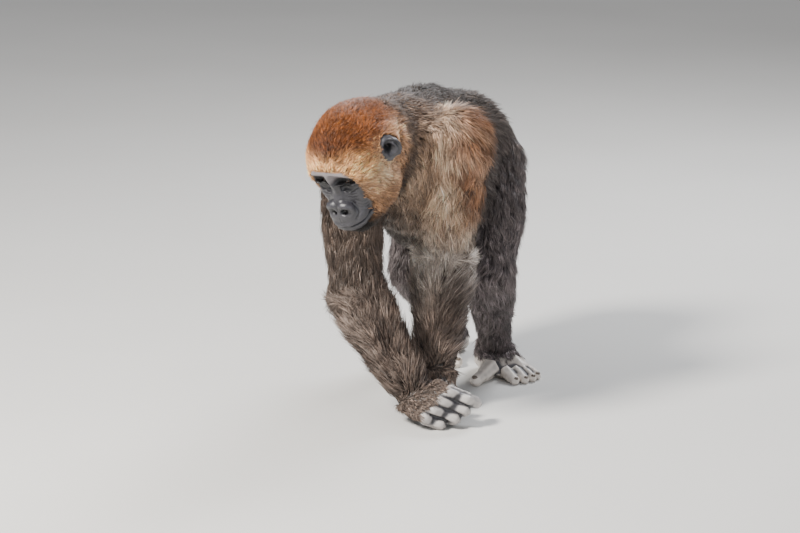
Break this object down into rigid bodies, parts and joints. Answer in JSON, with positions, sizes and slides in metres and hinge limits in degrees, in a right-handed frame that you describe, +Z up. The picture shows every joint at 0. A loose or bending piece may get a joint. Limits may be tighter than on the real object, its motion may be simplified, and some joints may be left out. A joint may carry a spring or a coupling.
{
  "type": "gorilla model",
  "caption": "Life-size still model of a western lowland gorilla walking on its knuckles, head lowered and turned to its left, with a rust-brown crown and a dark coat.",
  "frame": {"origin": "on the floor, under the middle of the animal's bounding box", "axes": "+Z up, -Y the way the animal walks, +X its left side"},
  "size_m": [0.4276, 1.0156, 0.8062],
  "materials": {
    "crown_coat": "short dense fur, rust brown",
    "back_coat": "dense fur, dark grey",
    "flank_coat": "dense fur, near black",
    "arm_coat": "long fur, greyish brown",
    "leg_coat": "fur, dark brown grey",
    "bare_skin": "wrinkled skin, satin",
    "pale_skin": "worn skin of hands and feet",
    "eye": "gloss",
    "nail": "horn, satin"
  },
  "bodies": {
    "root": {"head": "crown_coat", "neck": "back_coat", "chest": "back_coat", "belly": "flank_coat", "pelvis": "flank_coat", "eye_left": "eye", "ear_left": "bare_skin", "upper_arm_left": "arm_coat", "forearm_left": "arm_coat", "hand_left": "pale_skin", "thumb_left": "pale_skin", "thigh_left": "leg_coat", "shank_left": "leg_coat", "foot_left": "pale_skin", "great_toe_left": "pale_skin", "nail_thumb_left": "nail", "nail_index_finger_left": "nail", "nail_middle_finger_left": "nail", "nail_ring_finger_left": "nail", "nail_little_finger_left": "nail", "nail_great_toe_left": "nail", "nail_second_toe_left": "nail", "nail_third_toe_left": "nail", "nail_fourth_toe_left": "nail", "nail_fifth_toe_left": "nail", "eye_right": "eye", "ear_right": "bare_skin", "upper_arm_right": "arm_coat", "forearm_right": "arm_coat", "hand_right": "pale_skin", "thumb_right": "pale_skin", "thigh_right": "leg_coat", "shank_right": "leg_coat", "foot_right": "pale_skin", "great_toe_right": "pale_skin", "nail_thumb_right": "nail", "nail_index_finger_right": "nail", "nail_middle_finger_right": "nail", "nail_ring_finger_right": "nail", "nail_little_finger_right": "nail", "nail_great_toe_right": "nail", "nail_second_toe_right": "nail", "nail_third_toe_right": "nail", "nail_fourth_toe_right": "nail", "nail_fifth_toe_right": "nail"}
  },
  "joints": []
}
